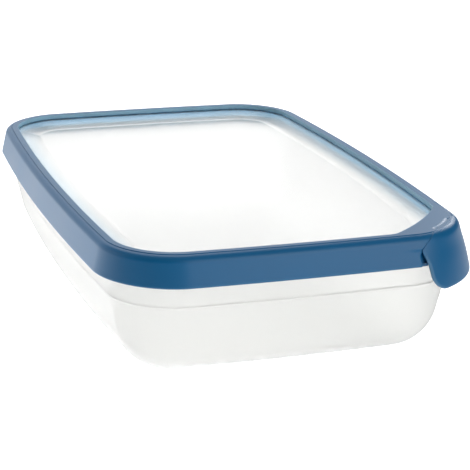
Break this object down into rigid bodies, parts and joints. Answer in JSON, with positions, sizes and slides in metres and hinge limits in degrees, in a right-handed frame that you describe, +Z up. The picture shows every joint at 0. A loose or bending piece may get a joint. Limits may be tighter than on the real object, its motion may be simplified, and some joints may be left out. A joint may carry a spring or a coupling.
{
  "type": "snap lid food container",
  "caption": "Shallow rectangular see-through food container with a clear recessed lid, a soft blue snap rim and a pull tab on one corner.",
  "frame": {"origin": "centre of the tub's flat base, on the surface it stands on", "axes": "+Z up through the lid, +Y along the length, +X across the width; the pull tab is on the corner at +X, -Y"},
  "size_m": [0.17, 0.2595, 0.0575],
  "materials": {
    "tub_clear": "hazy see-through polypropylene, satin gloss",
    "panel_clear": "hazy see-through polypropylene, smooth top",
    "rim_soft": "soft thermoplastic rubber, even blue, satin"
  },
  "bodies": {
    "tub": {"tub": "tub_clear"},
    "lid": {"lid_panel": "panel_clear", "lid_rim": "rim_soft"},
    "tab": {"pull_tab": "rim_soft"}
  },
  "joints": [
    {"name": "lid_lift", "type": "slide", "parent": "tub", "child": "lid", "axis": [0, 0, 1], "range_m": [0, 0.08]},
    {"name": "tab_flex", "type": "hinge", "parent": "lid", "child": "tab", "pos_m": [0.0671, -0.11307, 0.0575], "axis": [-0.7071, -0.7071, 0], "range_deg": [0, 70], "stiffness_Nm_per_rad": 0.02}
  ]
}
